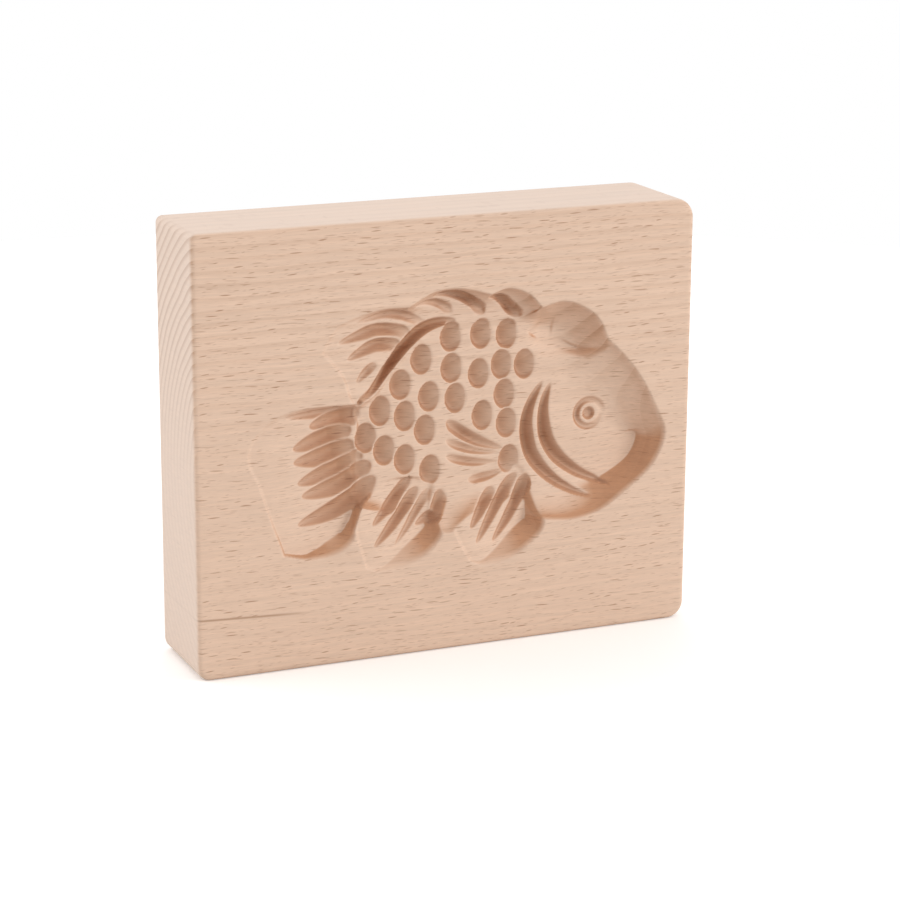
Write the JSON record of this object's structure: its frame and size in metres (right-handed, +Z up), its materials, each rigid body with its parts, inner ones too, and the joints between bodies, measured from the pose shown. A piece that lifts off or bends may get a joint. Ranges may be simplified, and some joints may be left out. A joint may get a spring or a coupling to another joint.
{
  "type": "cookie mould",
  "caption": "Rectangular hardwood cookie mould with a fish carved into one face for pressing dough; it lies on its back in use and stands on its lower edge on show.",
  "frame": {"origin": "middle of the lower edge face, at the bottom of the bounding box", "axes": "+X along the width and the grain, towards the fish's nose; +Y from the carved face to the back; +Z up, towards the fish's back fin"},
  "size_m": [0.12, 0.025, 0.1],
  "materials": {
    "beech": "bare beech, planed and finely sanded, with a thin coat of food-safe oil"
  },
  "bodies": {
    "root": {"mould_block": "beech"}
  },
  "joints": []
}
